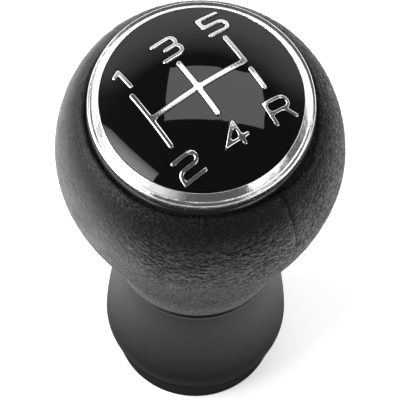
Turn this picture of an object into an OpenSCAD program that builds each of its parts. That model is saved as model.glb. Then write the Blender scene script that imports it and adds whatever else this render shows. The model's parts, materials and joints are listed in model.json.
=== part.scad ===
// Gear shift knob: a leather covered ball on a short plastic collar.
// The origin is at the centre of the foot, +Z runs up the lever's axis,
// +X is the shift pattern's right and +Y is the front of the car.

/* [Ball] */
// Widest diameter of the leather ball
ball_d = 50; // [46:0.5:56]
// Height of the ball below its widest place
ball_low = 38; // [34:0.5:44]
// Height of the ball above its widest place, up to the black lip
ball_high = 14.7; // [13:0.1:18]
// Diameter of the ball at its hem
hem_d = 30.2; // [29:0.2:34]
// Diameter where the leather meets the black lip
lip_d = 39.2; // [38.6:0.1:41]
// Width of the ball's flat shoulder beside the lip
shoulder = 3.5; // [3:0.1:4.5]
// Thickness of the leather
leather_t = 1.2; // [0.8:0.1:1.6]
// Rounding of the hem's lower edge
hem_round = 0.8; // [0.4:0.1:1.1]
// How far the leather's upper edge is tucked down behind the lip
tuck_h = 3.7; // [3:0.1:5]
// Air left between the two leather panels at each seam
seam_gap = 0.1; // [0.05:0.05:0.3]
// Turn of the leather's two seams from the pattern's upright, in degrees
seam_turn = 6; // [0:1:30]

/* [Collar] */
// Height of the collar
collar_h = 28.7; // [24:0.1:36]
// Diameter of the collar at its upper edge
collar_top_d = 29.6; // [29:0.2:34]
// How far the collar's side draws in under its upper edge
collar_waist = 0.6; // [0:0.1:0.8]
// Diameter of the collar at the crease over the foot ring
collar_low_d = 32.4; // [32:0.2:37]
// Wall of the collar
collar_wall = 1.6; // [1.2:0.1:2.2]
// Rounding of the collar's upper edge
collar_round = 0.8; // [0.4:0.1:1.4]
// Rounding of the crease at the collar's lower edge
crease_round = 1.3; // [0.6:0.1:1.5]
// Open gap between the leather's hem and the collar
joint_gap = 0.4; // [0.2:0.1:1]
// Thickness of the collar's top plate
collar_plate = 1.8; // [1.4:0.1:2.6]
// Number of ribs inside the collar
rib_count = 8; // [4:4:12]
// Thickness of each rib inside the collar
rib_t = 1.2; // [0.8:0.1:1.8]
// Height of each rib inside the collar
rib_h = 19; // [10:0.5:20]

/* [Foot ring] */
// Height of the foot ring that shows under the collar
foot_h = 8.6; // [7:0.1:12]
// Diameter of the foot ring at its upper edge
foot_top_d = 31.2; // [31:0.2:32]
// Diameter of the foot ring at its lower edge
foot_low_d = 28.6; // [28:0.2:30]
// Dark line left between the collar and the foot ring
part_line = 0.3; // [0.1:0.05:0.6]
// Wall of the foot ring
foot_wall = 1.8; // [1.4:0.1:2.2]
// Rounding of the foot ring's lower edge
foot_round = 1.2; // [0.6:0.1:1.6]
// Height of the spigot that snaps into the collar
spigot_h = 4.4; // [3.6:0.1:6]
// Wall of the spigot
spigot_wall = 1.4; // [1:0.1:1.8]
// Height of the snap bead, measured outward from the spigot
bead_out = 0.35; // [0.2:0.05:0.5]
// Distance of the snap bead below the spigot's upper end
bead_drop = 1.4; // [1:0.1:2]
// Width of the snap bead's flat crest
bead_flat = 0.2; // [0.1:0.05:0.4]

/* [Top] */
// Height of the black lip that shows between leather and bezel
lip_h = 1.5; // [1.2:0.1:2.4]
// Height of the lip's upright edge beside the leather
edge_h = 0.75; // [0.5:0.05:1]
// Height of the chrome bezel over its seat
bezel_h = 3; // [2.6:0.1:4]
// Outer diameter of the bezel
bezel_out_d = 38.8; // [38:0.1:39]
// Inner diameter of the bezel, round the dome
bezel_in_d = 34.8; // [34:0.1:35.6]
// Width of the bezel's inner slope
slope_w = 1.2; // [1:0.05:1.3]
// Fall of the bezel's inner slope
slope_h = 1.25; // [1:0.05:1.4]
// Width of the rim outside the bezel's groove
rim_w = 0.35; // [0.3:0.05:0.5]
// Distance of the rim's crest below the bezel's upper edge
rim_drop = 1.55; // [1.3:0.05:1.8]
// Width of the groove's rising side, up to the rim
groove_w = 0.3; // [0.2:0.05:0.4]
// Depth of the groove below the rim's crest
groove_h = 0.2; // [0.1:0.05:0.4]
// Thickness of the bezel's base under the dome's edge
bezel_base = 1; // [0.8:0.1:1.4]
// Length of the bezel's skirt below its base
bezel_skirt = 3; // [2.2:0.1:3.4]
// Step from the bezel's outer edge in to its skirt
bezel_step = 2.3; // [2:0.1:2.6]
// Wall of the bezel's skirt
skirt_wall = 0.7; // [0.5:0.05:0.9]
// Number of tabs that the bezel's skirt is cut into
tab_count = 6; // [3:1:8]
// Rise of the dome over the bezel's upper edge
dome_rise = 4.5; // [3:0.1:6]
// Shell thickness of the dome
dome_t = 1.8; // [1.4:0.1:2]
// Thickness of the tape ring that holds the dome
tape_t = 0.35; // [0.2:0.05:0.6]
// Width of the tape ring
tape_w = 3; // [2:0.1:3.2]

/* [Shift pattern] */
// Distance between two columns of the pattern
column_pitch = 9.6; // [8.6:0.05:10]
// Reach of each column above and below the cross line
column_reach = 5.7; // [4.6:0.1:6]
// Width of the pattern's lines
line_w = 1.1; // [0.8:0.05:1.3]
// Distance of the pattern's middle from the axis, to the right
pattern_x = -0.4; // [-0.8:0.1:0.8]
// Distance of the cross line from the axis, to the front
pattern_y = 0.5; // [-0.6:0.1:0.6]
// Length of the separate reverse bar
reverse_len = 3.9; // [3:0.1:4.2]
// Width of a numeral between its line centres
numeral_w = 4; // [3:0.1:4.2]
// Height of a numeral between its line centres
numeral_h = 3.9; // [3:0.1:4.1]
// Line width of the numerals
numeral_line = 0.95; // [0.6:0.05:1.1]
// Distance between two columns of numerals
numeral_pitch = 9.4; // [8.6:0.05:9.6]
// Distance of the numerals' middle column from the axis, to the right
numeral_x = -0.1; // [-0.3:0.05:0.3]
// Distance of each row of numerals from the axis
numeral_y = 9.8; // [9.4:0.05:10]
// Height of the inlays over the dome
inlay_rise = 0.25; // [0.1:0.05:0.5]
// Depth of the inlays' pockets in the dome
inlay_sink = 0.4; // [0.2:0.05:0.6]
// Gap round an inlay in its pocket
inlay_fit = 0.03; // [0.02:0.01:0.06]

/* [Lever fit] */
// Diameter of the bore for the gear lever
lever_d = 12; // [10:0.1:13]
// Depth of the bore for the gear lever
lever_depth = 50; // [40:0.5:54]
// Wall of the sleeve
sleeve_wall = 2; // [1.6:0.1:2.4]
// Thickness of the sleeve's closed end
sleeve_cap = 2; // [1.5:0.1:3]
// Length of the slotted collet end below the sleeve's flange
collet_len = 10; // [8:0.5:11]
// Length of the slots in the sleeve
slot_len = 20; // [14:0.5:26]
// Width of the slots in the sleeve
slot_w = 1.2; // [0.8:0.1:1.8]
// Thickness of the sleeve's flange
flange_t = 2; // [1.5:0.1:2.5]
// Width of the two keys along the sleeve
key_w = 2; // [1.5:0.1:3]
// Height of the two keys along the sleeve
key_h = 0.9; // [0.5:0.1:1]
// Width of the spring band round the collet end
band_w = 5; // [3:0.1:6]
// Thickness of the spring band
band_t = 0.8; // [0.5:0.1:1]
// Depth of the band's groove in the sleeve
band_groove = 0.5; // [0.3:0.1:0.7]
// Open angle of the spring band
band_open = 34; // [20:1:60]

/* [Core] */
// Wall of the frame's tube
tube_wall = 2.3; // [2:0.1:2.6]
// Length of the tube below the leather's hem
neck_len = 22; // [20:0.5:22]
// Thickness of the foam outside the frame's middle plate
plate_inset = 3; // [2.5:0.5:6]
// Thickness of the frame's plates
plate_t = 2.4; // [1.8:0.1:3]
// Thickness of the frame's upright ribs
core_rib_t = 1.6; // [1.2:0.1:2.4]
// Number of the frame's upright ribs
core_rib_count = 6; // [3:3:9]
// Distance of each carrier screw from the axis
screw_r = 9.8; // [9.4:0.1:10]
// Diameter of the carrier screws
screw_d = 2.5; // [2.2:0.1:3]
// Length of the carrier screws under the head
screw_len = 12; // [9:0.5:14]
// Diameter of the screw heads
head_d = 4.6; // [4:0.1:5]
// Height of the screw heads
head_h = 1.5; // [1.2:0.1:1.7]
// Thickness of the carrier's floor
floor_t = 2.5; // [2.2:0.1:3]
// Wall of the carrier's skirt
carrier_wall = 2.8; // [2.4:0.1:3.2]
// Number of snap hooks that hold the collar
hook_count = 4; // [2:2:4]
// Width of each snap hook
hook_w = 6; // [4:0.1:7]
// Length of each snap hook below the collar's plate
hook_len = 9; // [7:0.1:11]
// Thickness of each snap hook
hook_t = 1.3; // [1:0.1:1.6]
// Reach of each hook's barb
barb_out = 0.9; // [0.5:0.05:1]
// Height of each hook's barb
barb_h = 2.4; // [1.8:0.1:3]

/* [Clearances] */
// Sliding clearance between pieces that are pushed together, on each side
slide_fit = 0.1; // [0.05:0.01:0.15]
// Clearance over the end of a blind hole
end_fit = 0.3; // [0.2:0.05:0.6]

/* [Hidden] */
$fn = 96;

// Heights of the visible steps, from the foot up
collar_z = foot_h + part_line;
collar_top = collar_z + collar_h;
hem_z = collar_top + joint_gap;
ball_z = hem_z + ball_low;
lip_z = ball_z + ball_high;
bezel_z = lip_z + lip_h;
rim_z = bezel_z + bezel_h;
apex_z = rim_z + dome_rise;

// Levels inside the top
floor_z = bezel_z + bezel_base;
seat_z = lip_z - tuck_h;
dome_low = floor_z + tape_t;
core_low = hem_z + leather_t;

// The dome is a cap of a sphere that meets the bezel's upper edge
dome_r = (pow(bezel_in_d / 2, 2) + pow(dome_rise, 2)) / (2 * dome_rise);
dome_c = apex_z - dome_r;
dome_edge = bezel_in_d / 2 - inlay_fit;

// Radii of the carrier, worked inward from the lip
carrier_r = lip_d / 2 - leather_t;
groove_out = bezel_out_d / 2 - bezel_step;
skirt_out = groove_out - slide_fit / 2;
skirt_in = skirt_out - skirt_wall;
groove_in = skirt_in - slide_fit / 2;
tape_out = groove_in - slide_fit;
tape_in = tape_out - tape_w;

// Radii round the lever
bore_r = lever_d / 2;
sleeve_r = bore_r + sleeve_wall;
tube_in = sleeve_r + slide_fit;
tube_out = tube_in + tube_wall;
hook_in = tube_out + 2 * slide_fit;
ring_seat_out = hook_in + hook_t + end_fit;
hem_hole = ring_seat_out + end_fit;

// Levels round the lever
tube_z = hem_z - neck_len;
sleeve_z = tube_z - flange_t - collet_len;
sleeve_top = sleeve_z + lever_depth + sleeve_cap;
web_z = sleeve_top + end_fit;
band_z = sleeve_z + (collet_len - band_w) / 2;
hook_z = collar_top - collar_plate - hook_len;
// The snap joint between the collar and the foot ring
spigot_out = collar_low_d / 2 - collar_wall - slide_fit;
spigot_top = collar_z + spigot_h;
bead_z = spigot_top - bead_drop;

// Angles of rounded edges, in degrees
square_turn = 90;
edge_start = -15;

// Levels of the screws
head_z = floor_z - head_h - 0.3;
boss_r = screw_d / 2 + 1.7;
pilot_r = screw_d / 2 - 0.2;
boss_z = head_z - screw_len - end_fit - 1.5;

// Control points of the ball's outline, radius and height
ball_upper = [
    [lip_d / 2, lip_z],
    [lip_d / 2 + shoulder, lip_z - 0.3 * shoulder],
    [ball_d / 2, ball_z + 0.49 * ball_high],
    [ball_d / 2, ball_z]
];
ball_lower = [
    [ball_d / 2, ball_z],
    [ball_d / 2, ball_z - 0.275 * ball_low],
    [hem_d / 2 + 2.2, hem_z + hem_round + 0.34 * ball_low],
    [hem_d / 2, hem_z + hem_round]
];
collar_side = [
    [collar_top_d / 2, collar_top - collar_round],
    [collar_top_d / 2 - collar_waist, collar_top - 0.3 * collar_h],
    [collar_low_d / 2 - 0.2, collar_z + 0.35 * collar_h],
    [collar_low_d / 2, collar_z + crease_round]
];
foot_side = [
    [foot_top_d / 2, foot_h - 0.6],
    [foot_top_d / 2 - 0.1, foot_h - 0.3 * foot_h],
    [foot_low_d / 2 + 0.2, foot_round + 0.3 * foot_h],
    [foot_low_d / 2, foot_round]
];

// Place of the frame's middle plate, half way down the ball's lower outline
mid_plate_r = on_curve(ball_lower, 0.5)[0] - leather_t - plate_inset;
mid_plate_z = on_curve(ball_lower, 0.5)[1];

// A point on a cubic curve, and the curve's outward direction there
function on_curve(p, t) =
    pow(1 - t, 3) * p[0] + 3 * pow(1 - t, 2) * t * p[1]
    + 3 * (1 - t) * t * t * p[2] + t * t * t * p[3];
function along(p, t) =
    pow(1 - t, 2) * (p[1] - p[0]) + 2 * (1 - t) * t * (p[2] - p[1])
    + t * t * (p[3] - p[2]);
function outward(p, t) = let (d = along(p, t)) [-d[1], d[0]] / norm(d);

// The points of a curve that runs downward, moved inward by a distance
function curve(p, steps, inset = 0) = [
    for (i = [0 : steps]) on_curve(p, i / steps) - inset * outward(p, i / steps)
];
// The points of an arc round a centre
function arc(c, r, from, to, steps = 6) = [
    for (i = [0 : steps])
        let (a = from + (to - from) * i / steps) c + r * [cos(a), sin(a)]
];

// A tube round the lever's axis
module tube(r_out, r_in, z0, z1) {
    translate([0, 0, z0])
        difference() {
            cylinder(r = r_out, h = z1 - z0);
            translate([0, 0, -1])
                cylinder(r = r_in, h = z1 - z0 + 2);
        }
}

// A plain cylinder on the lever's axis
module disc(r, z0, z1) {
    translate([0, 0, z0])
        cylinder(r = r, h = z1 - z0);
}

// A box that is centred on a radius and turned to an angle
module spoke(angle, r0, r1, w, z0, z1) {
    rotate(angle)
        translate([r0, -w / 2, z0])
            cube([r1 - r0, w, z1 - z0]);
}

// The outline of the whole ball, from the axis to the leather's outside
module ball_section() {
    polygon(concat(
        [[0, lip_z]],
        curve(ball_upper, 14),
        [for (i = [1 : 22]) on_curve(ball_lower, i / 22)],
        arc([hem_d / 2 - hem_round, hem_z + hem_round], hem_round,
            edge_start, -square_turn, 4),
        [[0, hem_z]]
    ));
}

// The outline of what lies under the leather
module core_section() {
    intersection() {
        polygon(concat(
            [[0, lip_z + 5]],
            curve(ball_upper, 14, leather_t),
            [for (i = [1 : 22])
                on_curve(ball_lower, i / 22) - leather_t * outward(ball_lower, i / 22)],
            [[0, hem_z]]
        ));
        translate([0, core_low])
            square([ball_d, lip_z - core_low]);
    }
}

// The recess in the top of the core that takes the carrier and the tucked leather
module recess_section() {
    translate([0, seat_z])
        square([lip_d / 2, apex_z - seat_z]);
}

// Leather skin with its tucked upper edge and its turned hem
module skin_section() {
    difference() {
        ball_section();
        difference() {
            core_section();
            recess_section();
        }
        translate([0, seat_z])
            square([carrier_r, apex_z - seat_z]);
        translate([0, hem_z - 1])
            square([hem_hole, seat_z - hem_z + 1 - leather_t]);
        translate([0, seat_z - leather_t])
            square([carrier_r, leather_t]);
    }
}

// One half of the leather cover, on the side where turn puts it
module cover_panel(turn) {
    intersection() {
        rotate_extrude()
            skin_section();
        rotate(turn + seam_turn)
            translate([seam_gap / 2, -ball_d, hem_z - 1])
                cube([ball_d, 2 * ball_d, ball_low + ball_high + 2]);
    }
}

module cover_panel_left() {
    color("#3b3a3b")
        cover_panel(180);
}

module cover_panel_right() {
    color("#3f3e3f")
        cover_panel(0);
}

// The frame's solid outside, which the foam is moulded round
module frame_mass() {
    disc(tube_out, tube_z, seat_z - plate_t + 0.1);
    disc(carrier_r, seat_z - plate_t, seat_z);
    disc(mid_plate_r, mid_plate_z, mid_plate_z + plate_t);
    disc(hem_d / 2 - leather_t - 0.9, core_low, core_low + plate_t);
    for (i = [0 : core_rib_count - 1])
        spoke(360 / core_rib_count * i, tube_out - 0.5, mid_plate_r - 1,
            core_rib_t, mid_plate_z + 0.1, seat_z - plate_t + 0.1);
    for (i = [0 : 2])
        rotate(90 + 120 * i)
            translate([screw_r, 0, boss_z])
                cylinder(r = boss_r, h = seat_z - boss_z);
}

module core_frame() {
    color("#2b2d30")
        difference() {
            frame_mass();
            // Bore for the sleeve, up to the web that closes it
            disc(tube_in, tube_z - 1, web_z);
            // Hollow over the web, open to the top
            disc(screw_r - boss_r - 0.6, web_z + plate_t, seat_z + 1);
            // Keyways for the sleeve's two keys
            for (side = [0, 180])
                spoke(side, 0, sleeve_r + key_h + slide_fit, key_w + 2 * slide_fit,
                    tube_z - 1, web_z - sleeve_cap);
            // Windows for the collar's snap hooks
            for (i = [0 : hook_count - 1])
                intersection() {
                    tube(tube_out + 1, tube_out - barb_out,
                        hook_z - end_fit, hook_z + barb_h + end_fit);
                    spoke(45 + 360 / hook_count * i, 0, tube_out + 1,
                        hook_w + 4 * slide_fit, 0, core_low);
                }
            // Pilot holes for the carrier screws
            for (i = [0 : 2])
                rotate(90 + 120 * i)
                    translate([screw_r, 0, boss_z + 1.5])
                        cylinder(r = pilot_r, h = seat_z - boss_z);
        }
}

module core_foam() {
    color("#8a857a")
        difference() {
            rotate_extrude()
                difference() {
                    core_section();
                    recess_section();
                }
            frame_mass();
        }
}

// The carrier's seat for the dome, its lip over the leather and its skirt
module cap_carrier() {
    bead = 0.2;
    color("#0d0d0f")
        difference() {
            rotate_extrude()
                difference() {
                    polygon([
                        [0, floor_z],
                        [groove_in, floor_z],
                        [groove_in, bezel_z],
                        [bezel_out_d / 2 + 0.05, bezel_z],
                        [lip_d / 2, lip_z + edge_h],
                        [lip_d / 2, lip_z + 0.02],
                        [carrier_r - 0.02, lip_z + 0.02],
                        [carrier_r - 0.02, seat_z],
                        [carrier_r - carrier_wall, seat_z],
                        [carrier_r - carrier_wall, floor_z - floor_t],
                        [0, floor_z - floor_t]
                    ]);
                    // Groove for the bezel's skirt, with the notch for its bead
                    translate([groove_in, bezel_z - bezel_skirt - end_fit])
                        square([groove_out - groove_in, bezel_skirt + end_fit + 1]);
                    polygon([
                        [groove_out - 0.1, bezel_z - bezel_skirt + 0.2],
                        [groove_out + bead, bezel_z - bezel_skirt + 0.7],
                        [groove_out + bead, bezel_z - bezel_skirt + 1.0],
                        [groove_out - 0.1, bezel_z - bezel_skirt + 1.5]
                    ]);
                }
            for (i = [0 : 2])
                rotate(90 + 120 * i)
                    translate([screw_r, 0, 0]) {
                        translate([0, 0, seat_z - 1])
                            cylinder(r = screw_d / 2 + slide_fit, h = floor_z - seat_z + 2);
                        translate([0, 0, head_z])
                            cylinder(r = head_d / 2 + slide_fit, h = floor_z - head_z + 1);
                    }
        }
    // Posts that carry the floor on the frame's top plate
    color("#0d0d0f")
        for (i = [0 : 2])
            rotate(90 + 120 * i)
                translate([screw_r, 0, seat_z])
                    difference() {
                        cylinder(r = boss_r, h = floor_z - floor_t - seat_z + 0.1);
                        translate([0, 0, -1])
                            cylinder(r = screw_d / 2 + slide_fit, h = floor_z - seat_z + 2);
                    }
}

// Chrome bezel with an inner slope, a groove, an outer rim and a slotted snap skirt
module trim_ring() {
    bead = 0.15;
    groove_bottom_r = bezel_out_d / 2 - rim_w - groove_w;
    color("#d9dbde")
        difference() {
            rotate_extrude()
                polygon([
                    [bezel_in_d / 2, rim_z - 0.15],
                    [bezel_in_d / 2 + 0.12, rim_z],
                    [bezel_in_d / 2 + 0.25, rim_z - 0.05],
                    [bezel_in_d / 2 + slope_w, rim_z - slope_h],
                    [groove_bottom_r, rim_z - rim_drop - groove_h],
                    [bezel_out_d / 2 - rim_w / 2, rim_z - rim_drop],
                    [bezel_out_d / 2 - 0.03, rim_z - rim_drop - 0.1],
                    [bezel_out_d / 2, rim_z - rim_drop - groove_h],
                    [bezel_out_d / 2, bezel_z],
                    [skirt_out, bezel_z],
                    [skirt_out, bezel_z - bezel_skirt + 1.3],
                    [skirt_out + bead, bezel_z - bezel_skirt + 1.0],
                    [skirt_out + bead, bezel_z - bezel_skirt + 0.8],
                    [skirt_out, bezel_z - bezel_skirt + 0.4],
                    [skirt_out - 0.1, bezel_z - bezel_skirt],
                    [skirt_in, bezel_z - bezel_skirt],
                    [skirt_in, floor_z],
                    [bezel_in_d / 2, floor_z]
                ]);
            for (i = [0 : tab_count - 1])
                spoke(360 / tab_count * i, skirt_in - 1, skirt_out + 1, 2.4,
                    bezel_z - bezel_skirt - 1, bezel_z - 0.4);
        }
}

module cap_tape() {
    color("#b9b4a6")
        tube(tape_out, tape_in, floor_z, dome_low);
}

module carrier_screw(angle) {
    rotate(angle)
        translate([screw_r, 0, head_z]) {
            difference() {
                union() {
                    cylinder(r = head_d / 2, h = head_h);
                    translate([0, 0, -screw_len + 1])
                        cylinder(r = pilot_r, h = screw_len - 0.9);
                    translate([0, 0, -screw_len])
                        cylinder(r1 = 0.35, r2 = pilot_r, h = 1.01);
                }
                for (turn = [0, 90])
                    rotate(turn)
                        translate([-head_d * 0.28, -0.3, head_h - 0.9])
                            cube([head_d * 0.56, 0.6, 1]);
            }
        }
}

module carrier_screw_1() {
    color("#9da0a3")
        carrier_screw(90);
}

module carrier_screw_2() {
    color("#9da0a3")
        carrier_screw(210);
}

module carrier_screw_3() {
    color("#9da0a3")
        carrier_screw(330);
}

// A straight line with round ends, flat
module line(a, b, w) {
    d = b - a;
    translate(a)
        rotate(atan2(d[1], d[0])) {
            translate([0, -w / 2])
                square([norm(d), w]);
            circle(d = w);
            translate([norm(d), 0])
                circle(d = w);
        }
}

// Direction of a step along a path, and the path's sideways direction at a point
function step_dir(p, i) = (p[i + 1] - p[i]) / norm(p[i + 1] - p[i]);
function sideways(p, i) =
    let (
        a = step_dir(p, max(i - 1, 0)),
        b = step_dir(p, min(i, len(p) - 2)),
        m = a + b
    )
    [-m[1], m[0]] * 2 / (m * m);
// A bent line with round ends, flat, along a path of points
module ribbon(p, w) {
    last = len(p) - 1;
    a = step_dir(p, 0);
    b = step_dir(p, last - 1);
    from = atan2(a[1], a[0]);
    to = atan2(b[1], b[0]);
    polygon(concat(
        arc(p[0], w / 2, from + 3 * square_turn, from + square_turn, 6),
        [for (i = [1 : last - 1]) p[i] + sideways(p, i) * w / 2],
        arc(p[last], w / 2, to + square_turn, to - square_turn, 6),
        [for (i = [last - 1 : -1 : 1]) p[i] - sideways(p, i) * w / 2]
    ));
}

// Flat outline of the connected gate lines
module gate_outline(w) {
    for (x = [-column_pitch, 0])
        line([x, -column_reach], [x, column_reach], w);
    line([column_pitch, 0], [column_pitch, column_reach], w);
    line([-column_pitch, 0], [column_pitch, 0], w);
}

module reverse_outline(w) {
    line([column_pitch, -column_reach], [column_pitch, reverse_len - column_reach], w);
}

// Flat outlines of the figures, each centred on its own middle
module outline_1(w) {
    x = numeral_w / 2;
    y = numeral_h / 2;
    ribbon([[-0.35 * x, 0.72 * y], [0.2 * x, y], [0.2 * x, -y]], w);
}

module outline_2(w) {
    x = numeral_w / 2;
    y = numeral_h / 2;
    k = y / 2;
    ribbon(concat(
        [[-x, y]],
        arc([x - k, y - k], k, 90, -90),
        arc([k - x, -k], k, 90, 180, 4),
        [[-x, -y], [x, -y]]
    ), w);
}

module outline_3(w) {
    x = numeral_w / 2;
    y = numeral_h / 2;
    k = y / 2;
    ribbon(concat([[-x, y]], arc([x - k, k], k, 90, -90), [[-0.3 * x, 0]]), w);
    ribbon(concat([[0, 0]], arc([x - k, -k], k, 90, -90), [[-x, -y]]), w);
}

module outline_4(w) {
    x = numeral_w / 2;
    y = numeral_h / 2;
    ribbon([[0.4 * x, -y], [0.4 * x, 0.98 * y]], w);
    ribbon([[0.4 * x, y], [-x, -0.45 * y], [x, -0.45 * y]], w);
}

module outline_5(w) {
    x = numeral_w / 2;
    y = numeral_h / 2;
    k = y * 0.52;
    ribbon(concat(
        [[0.9 * x, y], [-x, y], [-x, 2 * k - y]],
        arc([x - k, k - y], k, 90, -90),
        [[-x, -y]]
    ), w);
}

module outline_r(w) {
    x = numeral_w / 2;
    y = numeral_h / 2;
    k = y / 2;
    ribbon(concat([[-x, -y], [-x, y]], arc([x - k, y - k], k, 90, -90), [[0.2 * x, 0]]), w);
    ribbon([[-x, 0], [0.35 * x, 0], [x, -y]], w);
}

// Flat outline of one inlay by its name, at its place on the dome
module inlay_outline(name, w_add = 0) {
    if (name == "gate")
        translate([pattern_x, pattern_y])
            gate_outline(line_w + w_add);
    if (name == "reverse")
        translate([pattern_x, pattern_y])
            reverse_outline(line_w + w_add);
    w = numeral_line + w_add;
    if (name == "1")
        translate([numeral_x - numeral_pitch, numeral_y])
            outline_1(w);
    if (name == "3")
        translate([numeral_x, numeral_y])
            outline_3(w);
    if (name == "5")
        translate([numeral_x + numeral_pitch, numeral_y])
            outline_5(w);
    if (name == "2")
        translate([numeral_x - numeral_pitch, -numeral_y])
            outline_2(w);
    if (name == "4")
        translate([numeral_x, -numeral_y])
            outline_4(w);
    if (name == "R")
        translate([numeral_x + numeral_pitch, -numeral_y])
            outline_r(w);
}

// An inlay or its pocket, between two spheres about the dome's centre
module inlay(name, w_add, sink, rise) {
    intersection() {
        translate([0, 0, dome_low])
            linear_extrude(apex_z - dome_low + 2)
                inlay_outline(name, w_add);
        translate([0, 0, dome_c])
            difference() {
                sphere(r = dome_r + rise);
                sphere(r = dome_r - sink);
            }
    }
}

module chrome_inlay(name) {
    color("#e4e6e8")
        inlay(name, 0, inlay_sink - inlay_fit, inlay_rise);
}

module gate_lines() {
    chrome_inlay("gate");
}

module reverse_bar() {
    chrome_inlay("reverse");
}

module numeral_1() {
    chrome_inlay("1");
}

module numeral_2() {
    chrome_inlay("2");
}

module numeral_3() {
    chrome_inlay("3");
}

module numeral_4() {
    chrome_inlay("4");
}

module numeral_5() {
    chrome_inlay("5");
}

module letter_r() {
    chrome_inlay("R");
}

// Gloss black dome, a shell with a flat land for the tape and pockets for the inlays
module cap_dome() {
    color("#08080a")
        difference() {
            intersection() {
                translate([0, 0, dome_c])
                    sphere(r = dome_r);
                disc(dome_edge, dome_low, apex_z + 1);
            }
            intersection() {
                translate([0, 0, dome_c])
                    sphere(r = dome_r - dome_t);
                disc(tape_in - 0.2, dome_low - 1, apex_z);
            }
            for (name = ["gate", "reverse", "1", "2", "3", "4", "5", "R"])
                inlay(name, 2 * inlay_fit, inlay_sink, 1);
        }
}

// Plastic sleeve that grips the lever: closed top, keys, flange and slotted collet end
module lever_sleeve() {
    color("#d8d4c8")
        difference() {
            union() {
                disc(sleeve_r, sleeve_z, sleeve_top);
                disc(tube_out - 0.2, tube_z - flange_t, tube_z);
                for (side = [0, 180])
                    spoke(side, bore_r + 1, sleeve_r + key_h, key_w,
                        tube_z - 0.1, sleeve_top - 2 * sleeve_cap);
            }
            disc(bore_r, sleeve_z - 1, sleeve_top - sleeve_cap);
            difference() {
                disc(sleeve_r + 1, band_z, band_z + band_w);
                disc(sleeve_r - band_groove, band_z - 1, band_z + band_w + 1);
            }
            for (turn = [45, 135])
                rotate(turn)
                    translate([-tube_out - 1, -slot_w / 2, sleeve_z - 1])
                        cube([2 * tube_out + 2, slot_w, slot_len + 1]);
        }
}

// Open steel band that squeezes the collet end onto the lever
module grip_band() {
    color("#8f9396")
        rotate(band_open / 2)
            rotate_extrude(angle = 360 - band_open)
                translate([sleeve_r - band_groove, band_z + slide_fit])
                    square([band_t, band_w - 2 * slide_fit]);
}

// Side outline of the collar, from the axis to its outside
module collar_outline() {
    polygon(concat(
        [[0, collar_top]],
        arc([collar_top_d / 2 - collar_round, collar_top - collar_round],
            collar_round, square_turn, 0, 5),
        [for (i = [1 : 18]) on_curve(collar_side, i / 18)],
        arc([collar_low_d / 2 - crease_round, collar_z + crease_round],
            crease_round, edge_start, -square_turn, 5),
        [[0, collar_z]]
    ));
}

// Inside of the collar, below its top plate
module collar_inside() {
    intersection() {
        polygon(concat(
            [[0, collar_top]],
            curve(collar_side, 14, collar_wall),
            [[collar_low_d / 2 - collar_wall, collar_z - 1], [0, collar_z - 1]]
        ));
        translate([0, collar_z - 1])
            square([collar_low_d, collar_h - collar_plate + 1]);
    }
}

// Satin black collar: bell shell, ribs, seat ring and snap hooks
module neck_collar() {
    mouth_r = collar_low_d / 2 - collar_wall;
    groove_r = mouth_r + bead_out - slide_fit;
    color("#2e2f31") {
        rotate_extrude()
            difference() {
                union() {
                    difference() {
                        collar_outline();
                        collar_inside();
                    }
                    // Ring that seats on the frame's lower plate inside the hem
                    translate([hook_in, collar_top - collar_plate])
                        square([ring_seat_out - hook_in,
                            core_low - collar_top + collar_plate]);
                }
                translate([0, collar_z])
                    square([hook_in, core_low]);
                // Mouth that takes the foot ring's spigot
                translate([0, collar_z])
                    square([mouth_r, spigot_h + end_fit]);
                // Groove for the foot ring's snap bead
                polygon([
                    [mouth_r - collar_wall, bead_z - bead_flat - collar_wall],
                    [groove_r, bead_z - bead_flat],
                    [groove_r, bead_z + bead_flat],
                    [mouth_r - collar_wall, bead_z + bead_flat + collar_wall]
                ]);
            }
        // Ribs from the wall towards the tube
        intersection() {
            for (i = [0 : rib_count - 1])
                spoke(360 / rib_count * (i + 0.5), hook_in + hook_t + 0.6, collar_low_d,
                    rib_t, collar_top - collar_plate - rib_h, collar_top - collar_plate + 0.2);
            translate([0, 0, collar_z])
                cylinder(r1 = collar_low_d / 2 - collar_wall / 2,
                    r2 = collar_top_d / 2 - collar_wall / 2, h = collar_h);
        }
        // Snap hooks
        for (i = [0 : hook_count - 1])
            intersection() {
                tube(hook_in + hook_t, tube_out - barb_out + slide_fit,
                    hook_z, collar_top - collar_plate + 0.1);
                difference() {
                    spoke(45 + 360 / hook_count * i, 0, ring_seat_out, hook_w,
                        hook_z, collar_top - collar_plate + 0.1);
                    disc(hook_in, hook_z + barb_h, collar_top);
                }
            }
    }
}

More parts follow.
